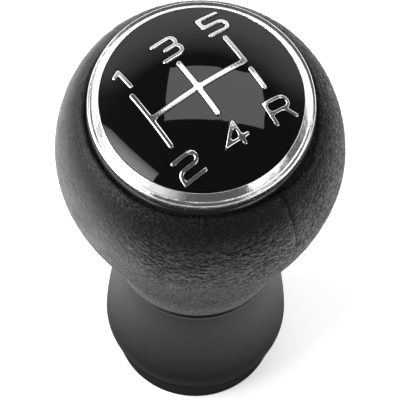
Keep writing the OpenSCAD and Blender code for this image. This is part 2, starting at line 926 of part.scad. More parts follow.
// Satin black foot ring: tapered band, bottom flange and slotted snap spigot
module foot_ring() {
    spigot_in = spigot_out - spigot_wall;
    bead_r = spigot_out + bead_out - slide_fit;
    top_round = foot_round / 2;
    flange_in = foot_low_d / 2 - foot_wall - 1.6;
    color("#27282a")
        difference() {
            rotate_extrude()
                polygon(concat(
                    [
                        [spigot_in, spigot_top],
                        [spigot_out - 0.3, spigot_top],
                        [spigot_out, spigot_top - 0.4],
                        [spigot_out, bead_z + bead_out],
                        [bead_r, bead_z + bead_flat / 2],
                        [bead_r, bead_z - bead_flat / 2],
                        [spigot_out, bead_z - bead_out],
                        [spigot_out, foot_h]
                    ],
                    arc([foot_top_d / 2 - top_round, foot_h - top_round],
                        top_round, square_turn, 0, 4),
                    [for (i = [1 : 8]) on_curve(foot_side, i / 8)],
                    arc([foot_low_d / 2 - foot_round, foot_round],
                        foot_round, edge_start, -square_turn, 5),
                    [
                        [flange_in, 0],
                        [flange_in, foot_wall],
                        [foot_low_d / 2 - foot_wall, foot_wall],
                        [foot_low_d / 2 - foot_wall, foot_h - foot_wall],
                        [spigot_in, foot_h - foot_wall + 0.8]
                    ]
                ));
            for (i = [0 : 5])
                spoke(30 + 60 * i, spigot_in - 2, spigot_out + 1, 1.6,
                    collar_z + 0.4, spigot_top + 1);
        }
}

cap_dome();
gate_lines();
reverse_bar();
numeral_1();
numeral_2();
numeral_3();
numeral_4();
numeral_5();
letter_r();
trim_ring();
cap_tape();
cap_carrier();
carrier_screw_1();
carrier_screw_2();
carrier_screw_3();
core_foam();
core_frame();
cover_panel_left();
cover_panel_right();
lever_sleeve();
grip_band();
neck_collar();
foot_ring();
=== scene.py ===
import json
import math

import bmesh
import bpy
import numpy as np
from mathutils import Matrix, Vector
from mathutils.geometry import delaunay_2d_cdt


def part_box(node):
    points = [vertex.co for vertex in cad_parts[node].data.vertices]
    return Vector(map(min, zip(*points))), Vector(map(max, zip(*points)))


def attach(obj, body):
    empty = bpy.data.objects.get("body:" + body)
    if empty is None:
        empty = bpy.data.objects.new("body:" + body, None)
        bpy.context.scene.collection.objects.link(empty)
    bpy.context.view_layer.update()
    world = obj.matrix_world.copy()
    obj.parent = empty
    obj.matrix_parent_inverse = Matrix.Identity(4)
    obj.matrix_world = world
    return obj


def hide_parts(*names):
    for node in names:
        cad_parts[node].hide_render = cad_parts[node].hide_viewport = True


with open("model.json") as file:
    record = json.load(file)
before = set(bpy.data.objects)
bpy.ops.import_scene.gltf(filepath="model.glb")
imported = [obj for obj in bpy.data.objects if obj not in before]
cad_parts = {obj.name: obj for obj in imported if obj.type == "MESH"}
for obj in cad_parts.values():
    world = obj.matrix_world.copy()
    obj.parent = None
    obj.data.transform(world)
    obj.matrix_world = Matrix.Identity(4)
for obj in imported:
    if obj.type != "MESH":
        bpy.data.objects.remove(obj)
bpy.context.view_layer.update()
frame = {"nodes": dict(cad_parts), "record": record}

# Gear shift knob, dressed for its photograph. Everything is in metres, +Z up the lever's axis,
# +X to the shift pattern's right and +Y to its top row.

MM = 0.001
# How far the camera stands round from the pattern's front, and the photo's left from there
CAM_TURN = math.radians(36.75)
LEFT = Vector((-math.cos(CAM_TURN), math.sin(CAM_TURN), 0))
nodes = frame["nodes"]

# Sizes read from the frame
SKIN_LOW, SKIN_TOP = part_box("cover_panel_right")
BALL_R = SKIN_TOP.x
HEM_Z = SKIN_LOW.z
LIP_Z = SKIN_TOP.z
LIP_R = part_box("cap_carrier")[1].x
RING_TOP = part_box("trim_ring")[1]
RIM_Z = RING_TOP.z
BEZEL_OUT_R = RING_TOP.x
APEX_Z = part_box("cap_dome")[1].z

# Sizes that the frame doesn't give, as in the part's source
BALL_LOW = 38 * MM
BALL_Z = HEM_Z + BALL_LOW
BALL_HIGH = LIP_Z - BALL_Z
SHOULDER = 3.5 * MM
LEATHER_T = 1.2 * MM
HEM_R = 15.1 * MM
TUCK = 3.7 * MM
HEM_HOLE_R = 12.6 * MM
SEAM_TURN = math.radians(6)
BEZEL_IN_R = 17.4 * MM
BEZEL_H = 3.0 * MM
BEZEL_Z = RIM_Z - BEZEL_H
BEZEL_BASE = 1.0 * MM
RIM_DROP = 1.55 * MM
RIM_W = 0.35 * MM
BEZEL_SKIRT = 3.0 * MM
SKIRT_R = 17.05 * MM
SKIRT_WALL = 0.7 * MM
TAB_COUNT = 6
TAB_SLOT = 2.4 * MM
INLAY_RISE = 0.25 * MM
DOME_RISE = APEX_Z - RIM_Z
DOME_R = (BEZEL_IN_R ** 2 + DOME_RISE ** 2) / (2 * DOME_RISE)
DOME_C = APEX_Z - DOME_R

# Forms that are rounder or finer here than in the part's source
HEM_ROUND = 1.4 * MM
SLOPE_W = 1.12 * MM
SLOPE_H = 1.2 * MM
GROOVE_W = 0.46 * MM
GROOVE_H = 0.27 * MM
INLAY_SINK = 0.37 * MM


# Mesh helpers

def new_object(name, verts, faces, smooth=True):
    """A mesh object made from plain lists of points and faces."""
    mesh = bpy.data.meshes.new(name)
    mesh.from_pydata([tuple(v) for v in verts], [], [tuple(f) for f in faces])
    mesh.validate()
    mesh.update()
    obj = bpy.data.objects.new(name, mesh)
    bpy.context.scene.collection.objects.link(obj)
    if smooth:
        mesh.polygons.foreach_set("use_smooth", [True] * len(mesh.polygons))
    return obj


def finish_piece(obj, node, slot):
    """Gives a piece its slot's material, attaches it to the root and hides the CAD node that it
    stands for, if any.
    """
    obj.data.materials.append(MATERIALS[slot])
    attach(obj, "root")
    if node:
        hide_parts(node)


def lengths_along(p):
    """How far along a path each of its points lies."""
    return np.concatenate([[0], np.cumsum(np.linalg.norm(np.diff(p, axis=0), axis=1))])


def bezier(points, t):
    """Points on a cubic curve at the parameters t."""
    p = np.array(points, float)
    t = np.asarray(t, float)[:, None]
    return ((1 - t) ** 3 * p[0] + 3 * (1 - t) ** 2 * t * p[1]
            + 3 * (1 - t) * t ** 2 * p[2] + t ** 3 * p[3])


def even(points, count):
    """The same path with evenly spaced points."""
    p = np.asarray(points, float)
    run = lengths_along(p)
    want = np.linspace(0, run[-1], count)
    return np.stack([np.interp(want, run, p[:, k]) for k in range(p.shape[1])], 1)


def path_normals(p):
    """Outward normals of a path that runs downward in (radius, height)."""
    d = np.gradient(p, axis=0)
    n = np.stack([-d[:, 1], d[:, 0]], 1)
    return n / np.linalg.norm(n, axis=1)[:, None]


def revolved(section, steps):
    """Points and faces of a closed section, given as (radius, height) points, turned fully."""
    s = np.asarray(section, float)
    n = len(s)
    a = np.linspace(0, 2 * np.pi, steps, endpoint=False)
    verts = np.stack([
        (s[None, :, 0] * np.cos(a)[:, None]).ravel(),
        (s[None, :, 0] * np.sin(a)[:, None]).ravel(),
        np.tile(s[:, 1], steps),
    ], 1)
    faces = []
    for i in range(steps):
        j = (i + 1) % steps
        for k in range(n):
            m = (k + 1) % n
            faces.append((i * n + k, i * n + m, j * n + m, j * n + k))
    return verts.tolist(), faces


# Shader helpers: n is a node tree's nodes and l its links

def material(name):
    """A new material with its nodes, its links and its shader."""
    m = bpy.data.materials.new(name)
    m.use_nodes = True
    return m, m.node_tree.nodes, m.node_tree.links, m.node_tree.nodes["Principled BSDF"]


def plug(l, value, socket):
    """Links an output to a socket, or sets the socket to a constant."""
    if isinstance(value, bpy.types.NodeSocket):
        l.new(value, socket)
    else:
        socket.default_value = value


def object_coords(n, l, scale=(1, 1, 1)):
    """Object coordinates, multiplied by a scale along each axis."""
    coord = n.new("ShaderNodeTexCoord")
    mapping = n.new("ShaderNodeMapping")
    mapping.inputs["Scale"].default_value = scale
    l.new(coord.outputs["Object"], mapping.inputs["Vector"])
    return mapping.outputs["Vector"]


def height_of(n, l, vector):
    """The Z part of a vector."""
    split = n.new("ShaderNodeSeparateXYZ")
    l.new(vector, split.inputs[0])
    return split.outputs["Z"]


def noise_node(n, l, vector, scale, detail=4.0, rough=0.5):
    """A noise texture, of which callers take the value or the colour."""
    noise = n.new("ShaderNodeTexNoise")
    noise.inputs["Scale"].default_value = scale
    noise.inputs["Detail"].default_value = detail
    noise.inputs["Roughness"].default_value = rough
    l.new(vector, noise.inputs["Vector"])
    return noise


def ramp(n, l, source, stops):
    """The colours at a list of stops, blended by the source's value."""
    r = n.new("ShaderNodeValToRGB")
    l.new(source, r.inputs["Fac"])
    while len(r.color_ramp.elements) < len(stops):
        r.color_ramp.elements.new(0.5)
    for element, (position, colour) in zip(r.color_ramp.elements, stops):
        element.position = position
        element.color = (*colour, 1)
    return r.outputs["Color"]


def grey(v):
    return (v, v, v)


def grey_ramp(n, l, source, stops):
    """A ramp of greys, given as pairs of position and grey."""
    return ramp(n, l, source, [(position, grey(v)) for position, v in stops])


def scalar_math(n, l, operation, first, second):
    """The result of an operation on two values."""
    node = n.new("ShaderNodeMath")
    node.operation = operation
    plug(l, first, node.inputs[0])
    plug(l, second, node.inputs[1])
    return node.outputs["Value"]


def vector_math(n, l, operation, first, second=None, scale=None):
    """The result of an operation on a vector with a second one or with a scale."""
    node = n.new("ShaderNodeVectorMath")
    node.operation = operation
    plug(l, first, node.inputs[0])
    if second is not None:
        plug(l, second, node.inputs[1])
    if scale is not None:
        plug(l, scale, node.inputs["Scale"])
    gives_value = operation in ("DOT_PRODUCT", "DISTANCE", "LENGTH")
    return node.outputs["Value" if gives_value else "Vector"]


def map_range(n, l, value, span, to=(0.0, 1.0)):
    """A value that runs from to[0] to to[1] over a span, and stays level outside it."""
    node = n.new("ShaderNodeMapRange")
    l.new(value, node.inputs["Value"])
    node.inputs["From Min"].default_value = span[0]
    node.inputs["From Max"].default_value = span[1]
    node.inputs["To Min"].default_value = to[0]
    node.inputs["To Max"].default_value = to[1]
    return node.outputs["Result"]


def mix(n, l, factor, a, b, kind="RGBA"):
    """A blend from a to b, of colours or, with kind FLOAT, of values."""
    node = n.new("ShaderNodeMix")
    node.data_type = kind
    plug(l, factor, node.inputs["Factor"])
    plug(l, a, node.inputs["A"])
    plug(l, b, node.inputs["B"])
    return node.outputs["Result"]


def add_bump(n, l, bsdf, height, strength, distance, below=None):
    """Gives a shader a bump, over the one below if there is one."""
    b = n.new("ShaderNodeBump")
    b.inputs["Strength"].default_value = strength
    b.inputs["Distance"].default_value = distance
    l.new(height, b.inputs["Height"])
    if below is not None:
        l.new(below, b.inputs["Normal"])
    l.new(b.outputs["Normal"], bsdf.inputs["Normal"])
    return b.outputs["Normal"]


# Plastics and metals

GRAIN_DEEP = 0.04 * MM
WAVE_DEEP = 0.045 * MM
TURNED_DEEP = 0.018 * MM
PIT_DEEP = 0.05 * MM


def plastic(name, colour, rough, speck=0.04, grain=0.0, grain_scale=2500.0, specular=0.5):
    """Moulded plastic: a plain colour with a faint mottle, uneven gloss and a fine grain."""
    m, n, l, bsdf = material(name)
    vec = object_coords(n, l)
    mottle = noise_node(n, l, vec, scale=180.0, detail=5.0, rough=0.6).outputs["Fac"]
    low = tuple(c * (1 - speck) for c in colour)
    high = tuple(c * (1 + speck) for c in colour)
    l.new(ramp(n, l, mottle, [(0.35, low), (0.65, high)]), bsdf.inputs["Base Color"])
    bsdf.inputs["Specular IOR Level"].default_value = specular
    gloss = noise_node(n, l, vec, scale=90.0, detail=3.0, rough=0.5).outputs["Fac"]
    shine = grey_ramp(n, l, gloss, [(0.3, rough * 0.92), (0.7, rough * 1.08)])
    l.new(shine, bsdf.inputs["Roughness"])
    if grain:
        fine = noise_node(n, l, vec, scale=grain_scale, detail=2.0, rough=0.5)
        add_bump(n, l, bsdf, fine.outputs["Fac"], grain, GRAIN_DEEP)
    return m


# Heights in units of 20 mm at which the collar's colour changes; the pale band at its lowest edge
# is a painted highlight
COLLAR_SCALE = 50
COLLAR_TONES_AND_PAINTED_HIGHLIGHT = [
    (0.425, (0.0075, 0.0075, 0.0077)),
    (0.44, (0.030, 0.0295, 0.030)),
    (0.49, (0.030, 0.0295, 0.030)),
    (0.64, (0.0058, 0.0058, 0.006)),
]


def collar_material():
    """Satin plastic for collar and foot ring, with a painted highlight as a pale band at the
    collar's lowest edge.
    """
    m = plastic("collar_satin_black", (0.0065, 0.0065, 0.0068), rough=0.32, grain=0.12,
                specular=0.4)
    n, l, bsdf = m.node_tree.nodes, m.node_tree.links, m.node_tree.nodes["Principled BSDF"]
    z = height_of(n, l, object_coords(n, l, (COLLAR_SCALE, COLLAR_SCALE, COLLAR_SCALE)))
    l.new(ramp(n, l, z, COLLAR_TONES_AND_PAINTED_HIGHLIGHT), bsdf.inputs["Base Color"])
    return m


def turned_lines(n, l):
    """Noise that changes with the distance from the lever's axis, as turning leaves it."""
    place = n.new("ShaderNodeTexCoord").outputs["Object"]
    flat = vector_math(n, l, "MULTIPLY", place, (1, 1, 0))
    radius = vector_math(n, l, "LENGTH", flat)
    # A small share of the place itself, so that the lines don't run all the way round
    small = vector_math(n, l, "SCALE", place, scale=0.02)
    joined = vector_math(n, l, "ADD", radius, small)
    return noise_node(n, l, joined, scale=5200.0, detail=3.0, rough=0.6).outputs["Fac"]


def metal(name, colour, rough, turned=0.0, pitted=0.0):
    """Bare or plated metal with faint streaks in its gloss; turned adds lines round the axis."""
    m, n, l, bsdf = material(name)
    bsdf.inputs["Metallic"].default_value = 1.0
    vec = object_coords(n, l)
    if turned:
        wave = noise_node(n, l, vec, scale=600.0, detail=2.0, rough=0.5).outputs["Fac"]
        low = add_bump(n, l, bsdf, wave, 1.0, WAVE_DEEP)
        add_bump(n, l, bsdf, turned_lines(n, l), turned, TURNED_DEEP, low)
    if pitted:
        pits = noise_node(n, l, vec, scale=2600.0, detail=3.0, rough=0.6).outputs["Fac"]
        add_bump(n, l, bsdf, pits, pitted, PIT_DEEP)
    streak = noise_node(n, l, vec, scale=900.0, detail=6.0, rough=0.65).outputs["Fac"]
    shine = grey_ramp(n, l, streak, [(0.3, rough * 0.7), (0.7, rough * 1.3)])
    l.new(shine, bsdf.inputs["Roughness"])
    tint = ramp(n, l, streak, [(0.3, tuple(c * 0.94 for c in colour)), (0.7, colour)])
    l.new(tint, bsdf.inputs["Base Color"])
    return m


# The leather's look

# Its texture is squeezed upright, so that the cells lie flat
SQUASH = 1.4
CELL_SCALE = 1080.0
WANDER_SCALE = 700.0
WANDER = 1.6 * MM
# Heights over which something changes
HEM_FADE_SPAN = (HEM_Z + 1.5 * MM, HEM_Z + 8 * MM)
# Between these heights the lower skin's painted light and dark creases give way to the pale
# painted highlights in the creases above
PAINTED_LIGHT_SPAN = (44 * MM, 66 * MM)
UPPER_SPAN = (56 * MM, 72 * MM)
MATT_SPAN = (79 * MM, 89 * MM)
# How far to the photo's left the grain becomes flat
LEFT_SPAN = (0.0, 17 * MM)
# Added to a cell's border distance, which is 0 in a crease
HEM_FADE = 0.13
LEFT_FADE = 0.11
# Painted light in the leather's colour: pale creases are a painted highlight, dark creases painted
# shade, the paler lower skin a painted reflection of the floor
CREASE_PAINTED_HIGHLIGHT = (0.018, 0.0174, 0.0177)
SKIN_UPPER = (0.0045, 0.0043, 0.0045)
CREASE_PAINTED_SHADE = (0.0015, 0.0014, 0.0015)
SKIN_LOWER_PAINTED_LIGHT = (0.066, 0.064, 0.0653)
CREASE_GLEAM = 0.16
SKIN_GLEAM = 0.60
MATT_SHARE = 0.4
PORE_DEEP = 0.06 * MM
WRINKLE_DEEP = 0.16 * MM
CREASE_DEEP = 0.19 * MM


def over_height(n, l, z, span, to=(0.0, 1.0)):
    """A value that changes between two real heights, z being in the squeezed texture."""
    return map_range(n, l, z, [SQUASH * height for height in span], to)


def leather_cells(n, l, vec):
    """The border distance of cells whose places wander, so that no border runs straight."""
    wander = noise_node(n, l, vec, scale=WANDER_SCALE, detail=3.0, rough=0.6).outputs["Color"]
    centred = vector_math(n, l, "SUBTRACT", wander, grey(0.5))
    spread = vector_math(n, l, "SCALE", centred, scale=WANDER)
    cells = n.new("ShaderNodeTexVoronoi")
    cells.feature = "DISTANCE_TO_EDGE"
    cells.inputs["Scale"].default_value = CELL_SCALE
    l.new(vector_math(n, l, "ADD", vec, spread), cells.inputs["Vector"])
    return cells.outputs["Distance"]


def leather_border(n, l, vec, z, upper):
    """The cells' border distance, raised above the hem and on the upper left to fade creases."""
    hem_fade = over_height(n, l, z, HEM_FADE_SPAN, (HEM_FADE, 0.0))
    creased = scalar_math(n, l, "ADD", leather_cells(n, l, vec), hem_fade)
    toward_left = vector_math(n, l, "DOT_PRODUCT", vec, LEFT)
    left = map_range(n, l, toward_left, LEFT_SPAN, (0.0, LEFT_FADE))
    return scalar_math(n, l, "ADD", creased, scalar_math(n, l, "MULTIPLY", upper, left))


def leather_colour(n, l, z, border):
    """Painted highlight in pale creases on the ball; painted shade in dark creases and painted
    reflected light in the paler skin towards the hem.
    """
    pale_crease_highlight = ramp(n, l, border, [(0.0, CREASE_PAINTED_HIGHLIGHT), (0.08, SKIN_UPPER)])
    plain = ramp(n, l, border, [(0.03, CREASE_PAINTED_SHADE), (0.12, SKIN_LOWER_PAINTED_LIGHT)])
    return mix(n, l, over_height(n, l, z, PAINTED_LIGHT_SPAN), plain, pale_crease_highlight)


def leather_gleam(n, l, z, border):
    """How much shines: little in a crease, and less on the shoulder beside the lip."""
    deep = grey_ramp(n, l, border, [(0.02, CREASE_GLEAM), (0.11, SKIN_GLEAM)])
    shoulder = over_height(n, l, z, MATT_SPAN, (1.0, MATT_SHARE))
    return vector_math(n, l, "SCALE", deep, scale=shoulder)


def leather_material():
    """Charcoal leather: fine creased cells over uneven gloss, pores and upright wrinkles."""
    m, n, l, bsdf = material("leather_charcoal")
    vec = object_coords(n, l, (1, 1, SQUASH))
    z = height_of(n, l, vec)
    upper = over_height(n, l, z, UPPER_SPAN)
    border = leather_border(n, l, vec, z, upper)
    l.new(leather_colour(n, l, z, border), bsdf.inputs["Base Color"])
    cloud = noise_node(n, l, vec, scale=160.0, detail=4.0, rough=0.6).outputs["Fac"]
    l.new(grey_ramp(n, l, cloud, [(0.3, 0.38), (0.7, 0.47)]), bsdf.inputs["Roughness"])
    l.new(leather_gleam(n, l, z, border), bsdf.inputs["Specular IOR Level"])
    pores = noise_node(n, l, vec, scale=2600.0, detail=3.0, rough=0.6).outputs["Fac"]
    low = add_bump(n, l, bsdf, pores, 0.25, PORE_DEEP)
    # Fine upright wrinkles on the upper part
    drawn_up = object_coords(n, l, (1, 1, 0.3))
    upright = noise_node(n, l, drawn_up, scale=1300.0, detail=4.0, rough=0.6).outputs["Fac"]
    wrinkle = scalar_math(n, l, "MULTIPLY", upright, upper)
    low = add_bump(n, l, bsdf, wrinkle, 0.8, WRINKLE_DEEP, low)
    crease = grey_ramp(n, l, border, [(0.0, 0.0), (0.16, 1.0)])
    add_bump(n, l, bsdf, crease, 1.0, CREASE_DEEP, low)
    return m


# Materials by the record's slots

MATERIALS = {
    "dome_black": plastic("dome_gloss_black", (0.0015, 0.0015, 0.0017), rough=0.03, speck=0.02),
    "chrome_inlay": metal("chrome_inlay", (0.86, 0.87, 0.88), rough=0.10, pitted=0.35),
    "chrome_bezel": metal("chrome_bezel", (0.84, 0.845, 0.855), rough=0.17, turned=0.6),
    "tape": plastic("foam_tape", (0.62, 0.60, 0.54), rough=0.8, speck=0.06, grain=0.3),
    "carrier_black": plastic("carrier_gloss_black", (0.010, 0.010, 0.011), rough=0.16,
                             speck=0.03),
    "screw_steel": metal("screw_zinc", (0.60, 0.61, 0.62), rough=0.3),
    "foam": plastic("moulded_foam", (0.12, 0.115, 0.10), rough=0.85, speck=0.15, grain=0.6,
                    grain_scale=1500.0),
    "frame_nylon": plastic("frame_nylon", (0.03, 0.03, 0.032), rough=0.5, speck=0.05, grain=0.2),
    "leather": leather_material(),
    "sleeve_nylon": plastic("sleeve_nylon", (0.66, 0.64, 0.58), rough=0.45, speck=0.03,
                            grain=0.15),
    "band_steel": metal("band_spring_steel", (0.5, 0.51, 0.53), rough=0.25),
    "collar_black": collar_material(),
}


def dress_cad_pieces():
    """Gives each CAD piece the material of its slot in the record."""
    for entry in frame["record"]["subparts"]:
        obj = nodes[entry["node"]]
        dress = MATERIALS[entry["material_slot"]]
        for slot in obj.material_slots:
            slot.material = dress
        if not obj.material_slots:
            obj.data.materials.append(dress)


# Seeded noise in plain arrays

# The salts that set one noise of the leather apart from another
SALT_RELIEF = 3
SALT_EDGE = 4
SALT_PEBBLE = 5
SALT_WAVE = 8
SALT_SEAM = 12
SALT_FINE = 17
SALT_DRIFT = 31
# Large odd numbers that scatter the bits
CELL_PRIMES = (73856093, 19349663, 83492791)
SALT_PRIME = 668265263
STIR_PRIMES = (739982445, 695872825)
BITS = 0xFFFFFFFF


def lattice_random(cells, salt):
    """A random number from 0 to 1 for each whole-numbered cell."""
    parts = [cells[..., k] * CELL_PRIMES[k] for k in range(3)]
    h = (parts[0] ^ parts[1] ^ parts[2] ^ (salt * SALT_PRIME)) & BITS
    h = ((h ^ (h >> 15)) * STIR_PRIMES[0]) & BITS
    h = ((h ^ (h >> 12)) * STIR_PRIMES[1]) & BITS
    h = h ^ (h >> 15)
    return h / float(BITS)


def value_noise(q, salt):
    """Smooth noise from 0 to 1 at the points q."""
    cell = np.floor(q).astype(np.int64)
    f = q - cell
    f = f * f * (3 - 2 * f)
    total = 0
    for dx in (0, 1):
        for dy in (0, 1):
            for dz in (0, 1):
                w = (np.where(dx, f[..., 0], 1 - f[..., 0])
                     * np.where(dy, f[..., 1], 1 - f[..., 1])
                     * np.where(dz, f[..., 2], 1 - f[..., 2]))
                total = total + w * lattice_random(cell + np.array([dx, dy, dz]), salt)
    return total


def cell_borders(q, salt):
    """How far each point is from the border of its irregular cell, 0 on the border."""
    cell = np.floor(q).astype(np.int64)
    f = q - cell
    first = np.full(q.shape[:-1], 9.0)
    second = np.full(q.shape[:-1], 9.0)
    for dx in (-1, 0, 1):
        for dy in (-1, 0, 1):
            for dz in (-1, 0, 1):
                step = np.array([dx, dy, dz])
                there = cell + step
                jitter = np.stack([lattice_random(there, salt + k) for k in range(3)], -1)
                d = np.linalg.norm(step + jitter - f, axis=-1)
                second = np.minimum(second, np.maximum(first, d))
                first = np.minimum(first, d)
    return second - first


def smooth_step(low, high, x):
    """0 below low and 1 above high, with a soft change between."""
    t = np.clip((x - low) / (high - low), 0, 1)
    return t * t * (3 - 2 * t)


# Leather panels

LEATHER_ROWS = 268
LEATHER_COLUMNS = 310
CURVE_POINTS = 120
INNER_EVERY = 10
HEM_POINTS = 12
SEAM_GAP = 0.004 * MM
PEBBLE_W = 1.45 * MM
PEBBLE_H = 1.0 * MM
PEBBLE_DEEP = 0.14 * MM
PEBBLE_EDGE = 0.26
# By what shares the pebbles are wider and less tall near the hem
PEBBLE_WIDER = 0.45
PEBBLE_LOWER = 0.12
DRIFT_SCALE = 0.8
DRIFT = 0.9
FINE_SCALE = 2.1
FINE_DEEP = 0.04 * MM
FINE_EDGE = 0.5
RELIEF_W = 4 * MM
WAVE_HIGH = 0.16 * MM
WAVE_W = 9 * MM
SEAM_DEEP = 0.14 * MM
SEAM_W = 0.26 * MM
SEAM_UNEVEN_W = 3 * MM
SWELL_HIGH = 0.05 * MM
SWELL_OUT = 1.4 * MM
SWELL_W = 0.9 * MM
# Spans along the skin from the lip, or from the hem, over which something changes
LOWER_SPAN = (25 * MM, 60 * MM)
FLAT_SPAN = (12 * MM, 30 * MM)
SHOULDER_SPAN = (2 * MM, 9 * MM)
SEAM_END_SPAN = (8 * MM, 20 * MM)
HEM_GRAIN_SPAN = (0.8 * MM, 4.6 * MM)
HEM_WAVE_SPAN = (1 * MM, 8 * MM)
LIP_WAVE_SPAN = (0, 4 * MM)
# How far to the photo's left the relief becomes flatter, and by what share
LEFT_FLAT_SPAN = (5 * MM, 17 * MM)
LEFT_FLAT_SHARE = 0.6
# The edge beside the lip dips most where the photo shows its widest dark gap
EDGE_DEEP = 0.45 * MM
EDGE_BEFORE = 0.22 * MM
EDGE_BEHIND = 0.28 * MM
EDGE_PLAIN = 0.7 * MM
EDGE_W = 0.30 * MM
EDGE_WIDER = 0.85 * MM
EDGE_WIDER_AT = math.radians(-66)
EDGE_WIDER_SPREAD = math.radians(17)
EDGE_UNEVEN = 0.22 * MM
EDGE_UNEVEN_W = 2.5 * MM
CREST_HIGH = 0.12 * MM
CREST_W = 0.6 * MM


def leather_paths():
    """The skin's outer path from lip to hem, and the rest of its section round to the lip."""
    upper = [(LIP_R, LIP_Z), (LIP_R + SHOULDER, LIP_Z - 0.3 * SHOULDER),
             (BALL_R, BALL_Z + 0.49 * BALL_HIGH), (BALL_R, BALL_Z)]
    lower = [(BALL_R, BALL_Z), (BALL_R, BALL_Z - 0.275 * BALL_LOW),
             (HEM_R + 2.2 * MM, HEM_Z + HEM_ROUND + 0.34 * BALL_LOW),
             (HEM_R, HEM_Z + HEM_ROUND)]
    t = np.linspace(0, 1, CURVE_POINTS)
    side = np.vstack([bezier(upper, t), bezier(lower, t)[1:]])
    a = np.linspace(0, -math.pi / 2, HEM_POINTS)[1:]
    hem = np.stack([HEM_R - HEM_ROUND + HEM_ROUND * np.cos(a),
                    HEM_Z + HEM_ROUND + HEM_ROUND * np.sin(a)], 1)
    outer = even(np.vstack([side, hem]), LEATHER_ROWS)
    inner = (side - LEATHER_T * path_normals(side))[::-INNER_EVERY]
    inner = inner[(inner[:, 0] > LIP_R) | (inner[:, 1] < BALL_Z)]
    inner = inner[inner[:, 1] > HEM_Z + LEATHER_T]
    # The tuck runs down inside the lip, with a little play
    play = 0.02 * MM
    tuck_out = LIP_R - play
    tuck_in = LIP_R - LEATHER_T + play
    rest = np.vstack([
        [(HEM_HOLE_R, HEM_Z), (HEM_HOLE_R, HEM_Z + LEATHER_T)],
        inner,
        [(tuck_out, LIP_Z - 1.3 * LEATHER_T), (tuck_out, LIP_Z - TUCK),
         (tuck_in, LIP_Z - TUCK), (tuck_in, LIP_Z - play)],
    ])
    return outer, rest


def soft_peak(distance, width):
    """1 at no distance, and next to nothing beyond two widths."""
    return np.exp(-(distance / width) ** 2)


def pebbled_grain(place):
    """The depth of the grain: pebbles drawn out round the ball, more so towards the hem."""
    x, y, s = np.moveaxis(place, -1, 0)
    low = smooth_step(*LOWER_SPAN, s)
    wide = PEBBLE_W * (1 + PEBBLE_WIDER * low)
    tall = PEBBLE_H * (1 - PEBBLE_LOWER * low)
    q = np.stack([x / wide, y / wide, s / tall], -1)
    drift = [value_noise(q * DRIFT_SCALE, SALT_DRIFT + k) - 0.5 for k in range(3)]
    q = q + DRIFT * np.stack(drift, -1)
    pebble = smooth_step(0.0, PEBBLE_EDGE, cell_borders(q, SALT_PEBBLE))
    fine = smooth_step(0.0, FINE_EDGE, cell_borders(q * FINE_SCALE, SALT_FINE))
    relief = 0.6 + 0.8 * value_noise(place / RELIEF_W, SALT_RELIEF)
    return PEBBLE_DEEP * relief * (pebble - 1) + FINE_DEEP * (fine - 1)


def grain_share(place, to_hem):
    """How much of the grain is left near the hem, on the upper left and on the shoulder."""
    x, y, s = np.moveaxis(place, -1, 0)
    left = smooth_step(*LEFT_FLAT_SPAN, x * LEFT.x + y * LEFT.y)
    upper = 1 - smooth_step(*FLAT_SPAN, s)
    shoulder = 0.5 + 0.5 * smooth_step(*SHOULDER_SPAN, s)
    near_hem = smooth_step(*HEM_GRAIN_SPAN, to_hem)
    return near_hem * (1 - LEFT_FLAT_SHARE * left * upper) * shoulder


def seam_relief(place, d):
    """A valley along the seam with a little swelling at each side, gone before the hem."""
    uneven = 0.4 + 1.2 * value_noise(place / SEAM_UNEVEN_W, SALT_SEAM)
    valley = -SEAM_DEEP * uneven * soft_peak(d, SEAM_W)
    swelling = SWELL_HIGH * soft_peak(d - SWELL_OUT, SWELL_W)
    return (valley + swelling) * (1 - smooth_step(*SEAM_END_SPAN, place[..., 2]))


def edge_width(place, a):
    """Over what width the upper edge dips behind the lip."""
    turn = (a - EDGE_WIDER_AT + math.pi) % (2 * math.pi) - math.pi
    width = EDGE_W + EDGE_WIDER * soft_peak(turn, EDGE_WIDER_SPREAD)
    flat_place = place * np.array([1, 1, 0])
    return width + EDGE_UNEVEN * (value_noise(flat_place / EDGE_UNEVEN_W, SALT_EDGE) - 0.5)


def leather_height(outer, angles, from_seam):
    """How far each point of the skin stands out, from its grain, waves, seams and edge."""
    run = lengths_along(outer)
    r = outer[:, 0][None, :]
    s = np.broadcast_to(run[None, :], (len(angles), len(run)))
    a = angles[:, None]
    place = np.stack([r * np.cos(a), r * np.sin(a), s], -1)
    to_hem = run[-1] - s
    width = edge_width(place, a)
    grain = pebbled_grain(place) * grain_share(place, to_hem)
    grain = grain * smooth_step(width, width + EDGE_PLAIN, s)
    wave = WAVE_HIGH * (value_noise(place / WAVE_W, SALT_WAVE) - 0.5)
    wave = wave * smooth_step(*HEM_WAVE_SPAN, to_hem) * smooth_step(*LIP_WAVE_SPAN, s)
    seam = seam_relief(place, from_seam[:, None] * r)
    edge = -EDGE_DEEP * (1 - smooth_step(width - EDGE_BEFORE, width + EDGE_BEHIND, s))
    crest = CREST_HIGH * soft_peak(s - width - CREST_W, CREST_W)
    return grain + wave + seam + edge + crest


